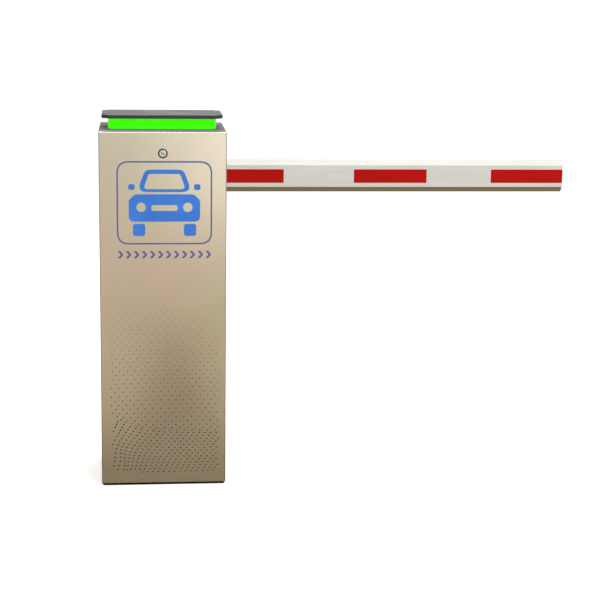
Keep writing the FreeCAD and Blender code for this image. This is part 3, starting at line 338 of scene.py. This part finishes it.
MATERIALS = {
    "brushed_stainless": brushed_metal("stainless", STAINLESS, 0.21, (1500.0, 1500.0, 9.0)),
    "dark_paint": moulded("black_paint", (0.026, 0.027, 0.028), 0.6, 0.0009, 0.00003, Specular_IOR_Level=0.4),
    "black_rubber": moulded("rubber", (0.006, 0.006, 0.005), 0.78, Specular_IOR_Level=0.2),
    "zinc_steel": zinc_plated("zinc", (0.58, 0.60, 0.61)),
    "machined_steel": machined("machined", (0.56, 0.56, 0.57), 0.30),
    "chromed_brass": machined("chrome", (0.86, 0.86, 0.85), 0.12, (300.0, 300.0, 300.0)),
    "cast_iron_grey": moulded("casting_paint", (0.13, 0.16, 0.19), 0.45, 0.0022, 0.00018),
    "bronze": machined("bronze", (0.66, 0.42, 0.17), 0.34),
    "motor_aluminium": machined("motor_alloy", (0.60, 0.61, 0.62), 0.46, (240.0, 240.0, 240.0)),
    "spring_steel": machined("spring_wire", (0.22, 0.22, 0.24), 0.34),
    "boom_white": boom_paint("boom_paint"),
    "end_cap_plastic": moulded("cap_plastic", (0.55, 0.54, 0.49), 0.5),
    "red_film": reflective_film("red_film", (0.39, 0.005, 0.003)),
    "black_plastic": moulded("black_plastic", (0.020, 0.020, 0.022), 0.5),
    "grey_plastic": moulded("grey_plastic", (0.36, 0.38, 0.39), 0.5),
    "perforated_steel": brushed_metal("sheet_steel", (0.62, 0.63, 0.64), 0.38, (12.0, 900.0, 900.0)),
    "green_diffuser": lit_diffuser("green_diffuser"),
    "led_white": led_tape("led_tape"),
}
OWN_MATERIALS = {
    "front_door": door_sheet("door_stainless"),
    # painted sheen: the deck's black paint is given a lighter grey in place of its reflection of the bright
    # overhead
    "top_deck": moulded("deck_paint", (0.195, 0.195, 0.20), 0.8, 0.0009, 0.00003, Specular_IOR_Level=0.04),
    # painted shade: the lock's chrome bezel takes a near-black tone for its shadowed ring
    "lock_housing": machined("lock_bezel", (0.10, 0.095, 0.085), 0.22, (300.0, 300.0, 300.0)),
    "lock_plug": machined("lock_face", (0.66, 0.67, 0.65), 0.2, (300.0, 300.0, 300.0)),
}
for row in frame["record"]["subparts"]:
    piece = nodes[row["node"]]
    piece.data.materials.clear()
    piece.data.materials.append(OWN_MATERIALS.get(row["node"], MATERIALS[row["material_slot"]]))
nodes["lamp_diffuser"].visible_diffuse = False
nodes["lamp_diffuser"].visible_glossy = False

BLUE = vinyl("blue_vinyl", (0.045, 0.185, 0.62))
LINE_BLUE = vinyl("line_vinyl", (0.095, 0.125, 0.30))
DOT_GREY = vinyl("dot_vinyl", (0.058, 0.045, 0.044))


# ------------------------------------------------------------------ printed graphics on the door
FILM = 0.25 * MM
film_face = DOOR_FACE - FILM


def flat_piece(name, loops, material, body="door"):
    """Thin film on the door from closed (x, z) outlines in metres; inner loops are holes."""
    curve = bpy.data.curves.new(name, "CURVE")
    curve.dimensions = "2D"
    curve.fill_mode = "BOTH"
    curve.extrude = FILM / 2
    for loop in loops:
        spline = curve.splines.new("POLY")
        spline.points.add(len(loop) - 1)
        for point, (x, z) in zip(spline.points, loop):
            point.co = (x, z, 0.0, 1.0)
        spline.use_cyclic_u = True
    source = bpy.data.objects.new(name + "_outline", curve)
    bpy.context.scene.collection.objects.link(source)
    bpy.context.view_layer.update()
    mesh = bpy.data.meshes.new_from_object(source.evaluated_get(bpy.context.evaluated_depsgraph_get()))
    bpy.data.objects.remove(source)
    for vertex in mesh.vertices:
        x, z, depth = vertex.co
        vertex.co = (x, film_face + FILM / 2 - depth, z)
    piece = bpy.data.objects.new(name, mesh)
    piece.data.materials.clear()
    piece.data.materials.append(material)
    bpy.context.scene.collection.objects.link(piece)
    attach(piece, body)


def arc(cx, cz, radius, start, end, steps=10):
    points = []
    for step in range(steps + 1):
        turn = math.radians(start + (end - start) * step / steps)
        points.append((cx + radius * math.cos(turn), cz + radius * math.sin(turn)))
    return points


def rounded_loop(points, radius):
    """Closed outline with every corner rounded by radius."""
    loop = []
    count = len(points)
    for index in range(count):
        corner = Vector(points[index])
        before = Vector(points[index - 1]) - corner
        after = Vector(points[(index + 1) % count]) - corner
        opening = before.angle(after)
        reach = min(radius / math.tan(opening / 2), 0.45 * before.length, 0.45 * after.length)
        first = corner + before.normalized() * reach
        last = corner + after.normalized() * reach
        for step in range(9):
            share = step / 8
            point = first * (1 - share) ** 2 + corner * 2 * share * (1 - share) + last * share ** 2
            loop.append((point.x, point.y))
    return loop


def placed(loop, x, z):
    """An outline in millimetres, moved to x and z in metres."""
    return [(x + px * MM, z + pz * MM) for px, pz in loop]


def rectangle(width, height):
    x, z = width / 2, height / 2
    return [(-x, -z), (x, -z), (x, z), (-x, z)]


SIGN_X = 4.0 * MM
SIGN_Z = 808.5 * MM
SIGN_WIDTH = 262.0               # outlines are drawn in millimetres and scaled by placed()
SIGN_HEIGHT = 231.0
SIGN_LINE = 4.3
SIGN_CORNER = 34.0
ROW_BELOW_SIGN = 144.0 * MM


def make_sign_frame():
    outer = rounded_loop(rectangle(SIGN_WIDTH, SIGN_HEIGHT), SIGN_CORNER)
    opening = rectangle(SIGN_WIDTH - 2 * SIGN_LINE, SIGN_HEIGHT - 2 * SIGN_LINE)
    inner = rounded_loop(opening, SIGN_CORNER - SIGN_LINE)
    loops = [placed(outer, SIGN_X, SIGN_Z), placed(inner, SIGN_X, SIGN_Z)]
    flat_piece("sign_frame", loops, LINE_BLUE)


def make_car_sign():
    """Plain pictogram of a car seen from the front."""
    body = rounded_loop([(-98, -52), (98, -52), (98, 8), (80, 24), (-80, 24), (-98, 8)], 16)
    cabin = rounded_loop([(-76, 30), (76, 30), (52, 92), (-52, 92)], 20)
    window = rounded_loop([(-58, 38), (58, 38), (43, 80), (-43, 80)], 9)
    loops = [body, cabin, window]
    for side in (-1, 1):
        loops.append([(side * 64 + x, -12 + z) for x, z in arc(0, 0, 13, 0, 345, 23)])
        wheel = rounded_loop([(-17, -92), (17, -92), (17, -58), (-17, -58)], 8)
        loops.append([(side * 70 + x, z) for x, z in wheel])
        mirror = rounded_loop([(-9, 36), (9, 36), (9, 52), (-9, 52)], 6)
        loops.append([(side * 90 + x, z) for x, z in mirror])
    loops.append(rounded_loop([(-36, -22), (36, -22), (36, -6), (-36, -6)], 7))
    flat_piece("car_sign", [placed(loop, SIGN_X, SIGN_Z) for loop in loops], BLUE)


def make_arrow_row():
    """Row of plain chevrons that point along the boom."""
    count = 12
    height = 20.0
    stroke = 8.5
    pitch = 22.0
    half = height / 2
    back = -9.0                  # rear ends, notch and tip of a chevron, measured along the row
    notch = 0.25
    tip = 7.75
    front = back + stroke
    chevron = [(back, -half), (front, -half), (tip, 0), (front, half), (back, half), (notch, 0)]
    loops = []
    for index in range(count):
        x = (index - (count - 1) / 2) * pitch
        loops.append(placed([(x + px, pz) for px, pz in chevron], SIGN_X, SIGN_Z - ROW_BELOW_SIGN))
    flat_piece("arrow_row", loops, LINE_BLUE)


def dot_mesh(name, dots, material):
    """One mesh of thin elliptical dots, each given as x, z, half width, half height, lean."""
    mesh = bpy.data.meshes.new(name)
    shape = bmesh.new()
    sides = 10
    for x, z, half_x, half_z, lean in dots:
        rim = []
        for step in range(sides):
            turn = 2 * math.pi * step / sides
            px = half_x * math.cos(turn)
            pz = half_z * math.sin(turn)
            qx = px * math.cos(lean) - pz * math.sin(lean)
            qz = px * math.sin(lean) + pz * math.cos(lean)
            rim.append((x + qx, z + qz))
        front = [shape.verts.new((px * MM, film_face, pz * MM)) for px, pz in rim]
        back = [shape.verts.new((px * MM, DOOR_FACE, pz * MM)) for px, pz in rim]
        shape.faces.new(front)
        shape.faces.new(back[::-1])
        for step in range(sides):
            after = (step + 1) % sides
            shape.faces.new((front[after], front[step], back[step], back[after]))
    bmesh.ops.recalc_face_normals(shape, faces=shape.faces)
    shape.to_mesh(mesh)
    shape.free()
    piece = bpy.data.objects.new(name, mesh)
    mesh.materials.append(material)
    bpy.context.scene.collection.objects.link(piece)
    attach(piece, "door")


DOTS_LEFT = -146.0               # millimetres, as are all the sizes of the dots
DOTS_RIGHT = 156.0
DOTS_TOP = 520.0
DOTS_BOTTOM = 38.0
LIGHT_ROWS = 45                  # light dots above the fold
LIGHT_COLUMNS = 30
ROW_STEP = 11.5
HALF_PITCH = 10.4
CROWD_REACH = 40.0               # how far above the fold the rows crowd together
DARK_ROWS = 32                   # dark dots below it
DARK_COLUMNS = 28
DARK_STEP = 8.6
DARK_PITCH = 16.5
LEAN = 0.80                      # how far a dark column moves left for each step down
PULL_REACH = 58.0                # how far from the left edge the gathering is felt
FOLD_Z = 156.0                   # the fold at the right, and its rise at the left
FOLD_RISE = 46.0


def left_pull(x):
    """1 at the left edge of the pattern, where the cloth is gathered, falling off to the right."""
    return math.exp(-(x - DOTS_LEFT) / PULL_REACH)


def fold_height(x):
    """Height of the fold that separates the light dots from the dark ones."""
    return FOLD_Z + FOLD_RISE * left_pull(x)


def light_dots():
    """Staggered rows that crowd together as they come down to the fold."""
    dots = []
    for row in range(LIGHT_ROWS):
        level = DOTS_TOP - ROW_STEP * row
        for column in range(row % 2, LIGHT_COLUMNS, 2):
            x = DOTS_LEFT + HALF_PITCH * column
            fold = fold_height(x)
            above = level - fold
            if above <= 0:
                continue
            crowd = math.exp(-above / CROWD_REACH)
            z = fold + above * (1 - 0.7 * crowd)
            sink = min(1.0, (DOTS_TOP - level) / (DOTS_TOP - fold))
            radius = 0.9 + 1.1 * sink
            ripple = 3.0 * math.sin(level / 34.0 + x / 60.0) + 9.0 * crowd
            shape = (radius * (1 + 0.3 * crowd), radius * (1 - 0.3 * crowd), 0.5 * crowd)
            right_slope = 110.0 * max(0.0, x / DOTS_RIGHT - 0.3)
            left_slope = 70.0 * max(0.0, -x / DOTS_RIGHT - 0.6)
            if z <= DOTS_TOP - right_slope - left_slope and x + ripple <= DOTS_RIGHT:
                dots.append((x + ripple, z, *shape))
    return dots


def dark_dots():
    """Leaning columns that hang from the fold."""
    dots = []
    for row in range(DARK_ROWS):
        depth = DARK_STEP * (row + 0.5)
        for column in range(DARK_COLUMNS):
            x = DOTS_LEFT + DARK_PITCH * column - LEAN * depth
            pull = left_pull(max(x, DOTS_LEFT))
            z = fold_height(max(x, DOTS_LEFT)) - depth * (1 + 0.45 * pull)
            across = x + 4.0 * math.sin(z / 19.0 + x / 120.0) + 0.3 * depth * pull
            shape = (2.9 - 0.5 * pull, 1.7 + 0.6 * pull, 0.3 * pull - 0.1)
            if z >= DOTS_BOTTOM and DOTS_LEFT <= across <= DOTS_RIGHT:
                dots.append((across, z, *shape))
    return dots


def make_key_way():
    """Wafers down inside the plug's key slot, each a little deeper than the next, in near-black: painted
    shade of the slot.
    """
    mesh = bpy.data.meshes.new("key_wafers")
    shape = bmesh.new()
    slot_turn = math.radians(-35.0)
    slot_length = 10.4 * MM
    half_height = 1.05 * MM
    side_gap = 0.05 * MM
    back = 3.0 * MM
    across = Vector((math.cos(slot_turn), 0.0, math.sin(slot_turn)))
    up = Vector((-math.sin(slot_turn), 0.0, math.cos(slot_turn)))
    centre = Vector((0.0, plug_low.y, LOCK_Z))
    wafers = 5
    width = slot_length / wafers
    for index in range(wafers):
        middle = centre + across * (index - (wafers - 1) / 2) * width
        depth = (0.5 + 0.35 * (index % 2)) * MM
        corners = []
        for y in (depth, back):
            for sx, sz in ((-1, -1), (1, -1), (1, 1), (-1, 1)):
                point = middle + across * sx * (width / 2 - side_gap) + up * sz * half_height
                corners.append(shape.verts.new(point + Vector((0.0, y, 0.0))))
        for face in ((0, 1, 2, 3), (7, 6, 5, 4), (0, 4, 5, 1), (1, 5, 6, 2), (2, 6, 7, 3), (3, 7, 4, 0)):
            shape.faces.new([corners[corner] for corner in face])
    bmesh.ops.recalc_face_normals(shape, faces=shape.faces)
    shape.to_mesh(mesh)
    shape.free()
    # painted shade: the wafers are near-black to darken the inside of the key slot
    mesh.materials.append(machined("key_wafer", (0.030, 0.026, 0.020), 0.5))
    piece = bpy.data.objects.new("key_wafers", mesh)
    bpy.context.scene.collection.objects.link(piece)
    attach(piece, "lock")


make_key_way()
make_sign_frame()
make_car_sign()
make_arrow_row()
dot_mesh("wave_dots", light_dots() + dark_dots(), DOT_GREY)


# ------------------------------------------------------------------ balance springs
def tube_mesh(shape, path, radius, sides=10):
    """Adds a closed tube round a list of points to a bmesh."""
    rings = []
    normal = None
    for index, point in enumerate(path):
        ahead = path[min(index + 1, len(path) - 1)]
        behind = path[max(index - 1, 0)]
        along = (ahead - behind).normalized()
        if normal is None:
            normal = along.orthogonal().normalized()
        normal = (normal - along * normal.dot(along)).normalized()
        side = along.cross(normal)
        ring = []
        for step in range(sides):
            turn = 2 * math.pi * step / sides
            ring.append(shape.verts.new(point + (normal * math.cos(turn) + side * math.sin(turn)) * radius))
        rings.append(ring)
    for first, second in zip(rings, rings[1:]):
        for step in range(sides):
            after = (step + 1) % sides
            shape.faces.new((first[step], first[after], second[after], second[step]))
    shape.faces.new(rings[0][::-1])
    shape.faces.new(rings[-1])


LONG_HOOK = 1.45                 # the upper hook is this much longer, to clear its pin when squashed
HOOK_STEPS = 16                  # points round a hook and round a turn


def make_springs():
    """Two coil springs with hooks at both ends, drawn stretched as the lowered boom holds them.

    They only change length, which is right with the boom down and with it up. Part way, the balance
    lever's pin swings up to 24 mm to one side of the upper hooks.
    """
    wire = 1.7 * MM
    coil_r = 7.2 * MM
    hook_r = 7.0 * MM
    hook_inset = 1.8 * MM
    turns = 62
    taper = 12                   # points over which a coil's end draws in
    x = (spring_low.x + spring_high.x) / 2
    offsets = (spring_low.y + 9.0 * MM, spring_high.y - 9.0 * MM)
    shape = bmesh.new()
    for y in offsets:
        low = spring_low.z + 24.0 * MM
        high = spring_high.z - 42.0 * MM
        path = []
        for step in range(HOOK_STEPS, 0, -1):
            turn = math.radians(-60 + 300 * step / HOOK_STEPS)
            centre = spring_low.z + hook_r + hook_inset
            path.append(Vector((x + hook_r * math.cos(turn), y, centre + hook_r * math.sin(turn))))
        path.reverse()
        path.append(Vector((x, y, low - 4.0 * MM)))
        steps = turns * HOOK_STEPS
        for step in range(steps + 1):
            turn = 2 * math.pi * step / HOOK_STEPS
            swell = min(1.0, step / taper, (steps - step) / taper)
            radius = coil_r * max(0.05, swell)
            rise = low + (high - low) * step / steps
            path.append(Vector((x + radius * math.cos(turn), y + radius * math.sin(turn), rise)))
        path.append(Vector((x, y, high + 6.0 * MM)))
        centre = spring_high.z - hook_r - hook_inset
        path.append(Vector((x, y, centre - LONG_HOOK * hook_r - 3.0 * MM)))
        for step in range(HOOK_STEPS + 1):
            turn = math.radians(-90 + 300 * step / HOOK_STEPS)
            drop = LONG_HOOK if math.sin(turn) < 0 else 1.0
            path.append(Vector((x + hook_r * math.cos(turn), y, centre + drop * hook_r * math.sin(turn))))
        tube_mesh(shape, path, wire)
    mesh = bpy.data.meshes.new("coil_springs")
    bmesh.ops.recalc_face_normals(shape, faces=shape.faces)
    shape.to_mesh(mesh)
    shape.free()
    for face in mesh.polygons:
        face.use_smooth = True
    mesh.materials.append(MATERIALS["spring_steel"])
    piece = bpy.data.objects.new("coil_springs", mesh)
    bpy.context.scene.collection.objects.link(piece)
    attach(piece, "cabinet")
    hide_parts("balance_springs")
    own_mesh(piece)


make_springs()


# ------------------------------------------------------------------ stage, light and camera
def make_floor():
    """White floor, lit a little from below. Reflections show the darker ground of SURROUNDINGS."""
    mesh = bpy.data.meshes.new("floor")
    reach = 40.0
    mesh.from_pydata([(-reach, -reach, 0), (reach, -reach, 0), (reach, reach, 0), (-reach, reach, 0)], [],
                     [(0, 1, 2, 3)])
    floor = bpy.data.objects.new("floor", mesh)
    bpy.context.scene.collection.objects.link(floor)
    white = (0.93, 0.93, 0.925)
    material = new_material("floor_paint", white, 0.0, 0.9, Emission_Strength=0.1)
    share = stretch(material, noise(material, (0.8,) * 3, 2.0), 0.0, 1.0)
    feed(material, blend_colours(material, share, white, (0.96, 0.96, 0.955)), "Base Color")
    mesh.materials.append(material)
    floor.visible_glossy = False
    floor.visible_diffuse = False


STUDIO_STRENGTH = 1.2
# Brightness of the studio by angle above the horizon, in degrees: a white tent over a brown ground.
SURROUNDINGS = (
    (-90.0, (0.38, 0.34, 0.27)),
    (-50.0, (0.38, 0.34, 0.27)),
    (-32.0, (0.34, 0.30, 0.235)),
    (-25.0, (0.20, 0.172, 0.125)),
    (-20.5, (0.105, 0.088, 0.058)),
    (-18.0, (0.115, 0.094, 0.060)),
    (-16.2, (0.33, 0.275, 0.180)),
    (-15.2, (0.64, 0.540, 0.370)),
    (-14.0, (0.77, 0.665, 0.475)),
    (-10.0, (0.745, 0.680, 0.540)),
    (-7.5, (0.79, 0.745, 0.655)),
    (0.0, (0.86, 0.855, 0.84)),
    (90.0, (1.16, 1.16, 1.16)),
)


def make_world():
    """White backdrop for the camera, and graded surroundings for light and reflections."""
    world = bpy.data.worlds.new("studio")
    bpy.context.scene.world = world
    world.use_nodes = True
    tree = world.node_tree
    tree.nodes.clear()
    backdrop = tree.nodes.new("ShaderNodeBackground")
    backdrop.inputs["Color"].default_value = (1.0, 1.0, 1.0, 1.0)
    studio = tree.nodes.new("ShaderNodeBackground")
    studio.inputs["Strength"].default_value = STUDIO_STRENGTH
    coordinate = tree.nodes.new("ShaderNodeTexCoord")
    split = tree.nodes.new("ShaderNodeSeparateXYZ")
    tree.links.new(coordinate.outputs["Generated"], split.inputs[0])
    height = tree.nodes.new("ShaderNodeMapRange")
    height.inputs["From Min"].default_value = -1.0
    tree.links.new(split.outputs["Z"], height.inputs["Value"])
    ramp = tree.nodes.new("ShaderNodeValToRGB")
    tree.links.new(height.outputs["Result"], ramp.inputs["Fac"])
    stops = ramp.color_ramp.elements
    while len(stops) > 1:
        stops.remove(stops[0])
    for index, (angle, colour) in enumerate(SURROUNDINGS):
        position = 0.5 + 0.5 * math.sin(math.radians(angle))
        stop = stops[0] if index == 0 else stops.new(position)
        stop.position = position
        stop.color = (*shade(colour, 1 / STUDIO_STRENGTH), 1.0)
    tree.links.new(ramp.outputs["Color"], studio.inputs["Color"])
    rays = tree.nodes.new("ShaderNodeLightPath")
    choose = tree.nodes.new("ShaderNodeMixShader")
    output = tree.nodes.new("ShaderNodeOutputWorld")
    tree.links.new(rays.outputs["Is Camera Ray"], choose.inputs[0])
    tree.links.new(studio.outputs[0], choose.inputs[1])
    tree.links.new(backdrop.outputs[0], choose.inputs[2])
    tree.links.new(choose.outputs[0], output.inputs["Surface"])


def area_light(name, place, target, size, power, colour=(1.0, 1.0, 1.0)):
    light = bpy.data.lights.new(name, "AREA")
    light.shape = "RECTANGLE"
    light.size, light.size_y = size
    light.energy = power
    light.color = colour
    lamp = bpy.data.objects.new(name, light)
    lamp.location = place
    lamp.rotation_mode = "QUATERNION"
    lamp.rotation_quaternion = (Vector(target) - Vector(place)).to_track_quat("-Z", "Y")
    bpy.context.scene.collection.objects.link(lamp)


def make_lights():
    """Soft key from the upper right, a low panel behind the camera for the door's sheen, and a back light."""
    area_light("key", (2.6, -3.4, 3.2), (0.2, 0.0, 0.6), (2.4, 1.8), 115.0)
    area_light("panel", (1.80, -5.2, 1.10), (1.80, 0.0, 1.10), (3.3, 2.2), 16.0, (0.94, 0.98, 1.0))
    area_light("back", (0.5, 3.6, 3.0), (0.3, 0.0, 0.6), (3.0, 1.6), 45.0)
    area_light("top", (0.5, 0.0, 3.8), (0.5, 0.0, 0.0), (2.6, 1.4), 22.0)


def make_camera():
    """In front of the cabinet and slightly above the cap, held a little out of level."""
    pan = math.radians(5.795)
    tilt = math.radians(11.555)
    roll = math.radians(0.782)
    data = bpy.data.cameras.new("camera")
    data.sensor_width = 36.0
    data.lens = 97.73
    data.clip_end = 200.0
    camera = bpy.data.objects.new("camera", data)
    camera.location = (-0.070, DOOR_FACE - 4.454, 1.449)
    ahead = Vector((math.sin(pan) * math.cos(tilt), math.cos(pan) * math.cos(tilt), -math.sin(tilt)))
    camera.rotation_mode = "QUATERNION"
    camera.rotation_quaternion = ahead.to_track_quat("-Z", "Y") @ Quaternion((0.0, 0.0, 1.0), roll)
    bpy.context.scene.collection.objects.link(camera)
    bpy.context.scene.camera = camera


make_floor()
make_world()
make_lights()
make_camera()
bpy.context.scene.view_settings.view_transform = "Standard"
bpy.context.scene.view_settings.look = "None"
